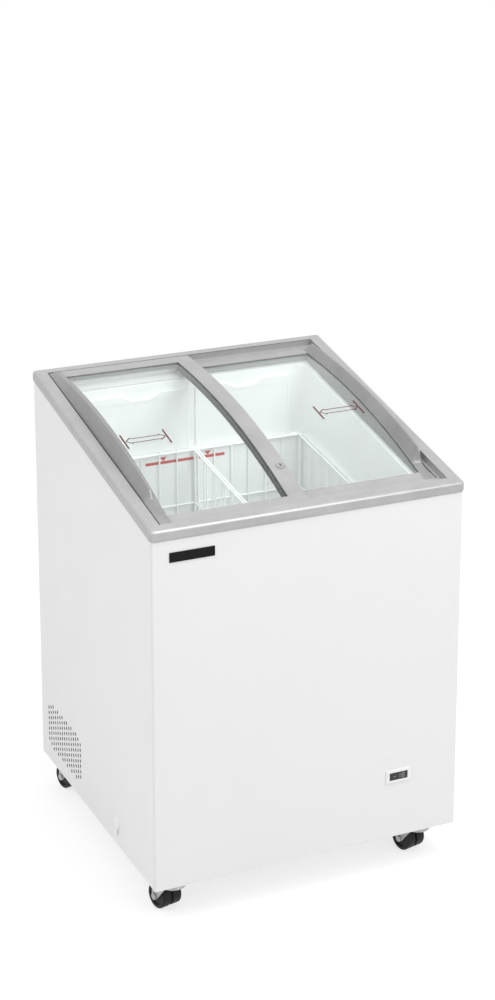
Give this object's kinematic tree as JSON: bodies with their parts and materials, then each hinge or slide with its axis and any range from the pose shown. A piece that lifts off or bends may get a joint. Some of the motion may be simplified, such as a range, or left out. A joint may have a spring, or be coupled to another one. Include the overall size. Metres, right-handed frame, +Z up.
{
  "type": "ice cream freezer",
  "caption": "Chest display freezer on casters with a sloping top, two curved sliding glass lids with finger grips, hanging wire baskets and a rear machine room",
  "frame": {"origin": "centre of the bounding box on the floor plane that the casters stand on", "axes": "+Z up, -Y is the front with the display, +X is the right side as seen from the front, +Y is the high rear edge"},
  "size_m": [0.636, 0.626, 0.9048],
  "materials": {
    "white_sheet": "white baked enamel over steel sheet, satin",
    "galvanised_sheet": "bare zinc-coated steel sheet",
    "screw_steel": "zinc-plated steel",
    "zinc_steel": "pressed zinc-plated steel",
    "foam": "rigid polyurethane foam, hidden between the skins",
    "liner_white": "white coated steel liner",
    "tube_aluminium": "drawn aluminium tube and fins",
    "panel_plastic": "white moulded plastic, fine grain",
    "grey_plastic": "mid-grey moulded plastic, satin",
    "lid_plastic": "light grey moulded plastic, satin gloss",
    "white_plastic": "white extruded plastic",
    "lid_glass": "clear curved tempered glass with a faint green tint",
    "badge": "plain black badge plate, bare",
    "bezel": "light grey display bezel",
    "display": "dark display window",
    "board": "circuit board",
    "black_steel": "black painted steel",
    "grommet_rubber": "black rubber",
    "black_plastic": "black moulded plastic",
    "copper": "drawn copper tube",
    "basket_wire": "white coated steel wire",
    "chrome": "polished plating",
    "seal_rubber": "soft grey seal strip",
    "wheel_plastic": "black nylon twin-tread wheel"
  },
  "bodies": {
    "cabinet": {"base_pan": "galvanised_sheet", "front_panel": "white_sheet", "left_side_panel": "white_sheet", "right_side_panel": "white_sheet", "rear_panel": "white_sheet", "rear_cover": "galvanised_sheet", "cover_screws": "screw_steel", "machine_partition": "galvanised_sheet", "insulation_foam": "foam", "liner": "liner_white", "evaporator_coil": "tube_aluminium", "liner_panel_left": "panel_plastic", "liner_panel_right": "panel_plastic", "top_frame": "grey_plastic", "lower_track": "white_plastic", "badge_plate": "badge", "display_bezel": "bezel", "display_window": "display", "display_board": "board", "drain_pipe": "white_plastic", "compressor": "black_steel", "compressor_grommets": "grommet_rubber", "terminal_cover": "black_plastic", "condenser": "tube_aluminium", "fan_shroud": "galvanised_sheet", "fan_motor": "black_steel", "filter_drier": "copper", "refrigerant_pipes": "copper", "thermostat_body": "black_plastic", "cord_gland": "black_plastic", "caster_plates": "zinc_steel", "caster_bolts": "screw_steel"},
    "lid_left": {"lid_left_frame": "lid_plastic", "lid_left_handle": "lid_plastic", "lid_left_glass": "lid_glass", "lid_left_glides": "white_plastic", "centre_seal": "seal_rubber", "lock_body": "chrome"},
    "lock": {"lock_core": "chrome"},
    "lid_right": {"lid_right_frame": "lid_plastic", "lid_right_handle": "lid_plastic", "lid_right_glass": "lid_glass", "lid_right_glides": "white_plastic"},
    "basket_left": {"basket_left": "basket_wire"},
    "basket_right": {"basket_right": "basket_wire"},
    "drain_cap": {"drain_cap": "white_plastic"},
    "fan": {"fan_blade": "black_plastic"},
    "thermostat_dial": {"thermostat_knob": "black_plastic"},
    "caster_front_left": {"caster_front_left_fork": "zinc_steel", "caster_front_left_axle": "screw_steel"},
    "wheel_front_left": {"caster_front_left_wheel": "wheel_plastic"},
    "caster_front_right": {"caster_front_right_fork": "zinc_steel", "caster_front_right_axle": "screw_steel"},
    "wheel_front_right": {"caster_front_right_wheel": "wheel_plastic"},
    "caster_rear_left": {"caster_rear_left_fork": "zinc_steel", "caster_rear_left_axle": "screw_steel"},
    "wheel_rear_left": {"caster_rear_left_wheel": "wheel_plastic"},
    "caster_rear_right": {"caster_rear_right_fork": "zinc_steel", "caster_rear_right_axle": "screw_steel"},
    "wheel_rear_right": {"caster_rear_right_wheel": "wheel_plastic"}
  },
  "joints": [
    {"name": "lid_left_slide", "type": "slide", "parent": "cabinet", "child": "lid_left", "axis": [1, 0, 0], "range_m": [0, 0.236]},
    {"name": "lid_right_slide", "type": "slide", "parent": "cabinet", "child": "lid_right", "axis": [1, 0, 0], "range_m": [-0.236, 0]},
    {"name": "lock_turn", "type": "hinge", "parent": "lid_left", "child": "lock", "pos_m": [-0.004, -0.18204, 0.81781], "axis": [0, -0.3263, 0.9453], "range_deg": [0, 90]},
    {"name": "basket_left_lift", "type": "slide", "parent": "cabinet", "child": "basket_left", "axis": [0, 0, 1], "range_m": [0, 0.08]},
    {"name": "basket_right_lift", "type": "slide", "parent": "cabinet", "child": "basket_right", "axis": [0, 0, 1], "range_m": [0, 0.08]},
    {"name": "drain_cap_pull", "type": "slide", "parent": "cabinet", "child": "drain_cap", "axis": [-1, 0, 0], "range_m": [0, 0.02]},
    {"name": "fan_spin", "type": "hinge", "parent": "cabinet", "child": "fan", "pos_m": [-0.25, 0.175, 0.166], "axis": [1, 0, 0], "continuous": true},
    {"name": "thermostat_turn", "type": "hinge", "parent": "cabinet", "child": "thermostat_dial", "pos_m": [0.18, 0.31, 0.271], "axis": [0, 1, 0], "range_deg": [0, 270]},
    {"name": "front_left_swivel", "type": "hinge", "parent": "cabinet", "child": "caster_front_left", "pos_m": [-0.26, -0.261, 0.061], "axis": [0, 0, 1], "continuous": true},
    {"name": "front_left_roll", "type": "hinge", "parent": "caster_front_left", "child": "wheel_front_left", "pos_m": [-0.26585, -0.23567, 0.025], "axis": [0.9744, 0.225, 0], "continuous": true},
    {"name": "front_right_swivel", "type": "hinge", "parent": "cabinet", "child": "caster_front_right", "pos_m": [0.26, -0.261, 0.061], "axis": [0, 0, 1], "continuous": true},
    {"name": "front_right_roll", "type": "hinge", "parent": "caster_front_right", "child": "wheel_front_right", "pos_m": [0.25415, -0.23567, 0.025], "axis": [0.9744, 0.225, 0], "continuous": true},
    {"name": "rear_left_swivel", "type": "hinge", "parent": "cabinet", "child": "caster_rear_left", "pos_m": [-0.26, 0.255, 0.061], "axis": [0, 0, 1], "continuous": true},
    {"name": "rear_left_roll", "type": "hinge", "parent": "caster_rear_left", "child": "wheel_rear_left", "pos_m": [-0.26585, 0.28033, 0.025], "axis": [0.9744, 0.225, 0], "continuous": true},
    {"name": "rear_right_swivel", "type": "hinge", "parent": "cabinet", "child": "caster_rear_right", "pos_m": [0.26, 0.255, 0.061], "axis": [0, 0, 1], "continuous": true},
    {"name": "rear_right_roll", "type": "hinge", "parent": "caster_rear_right", "child": "wheel_rear_right", "pos_m": [0.25415, 0.28033, 0.025], "axis": [0.9744, 0.225, 0], "continuous": true}
  ]
}
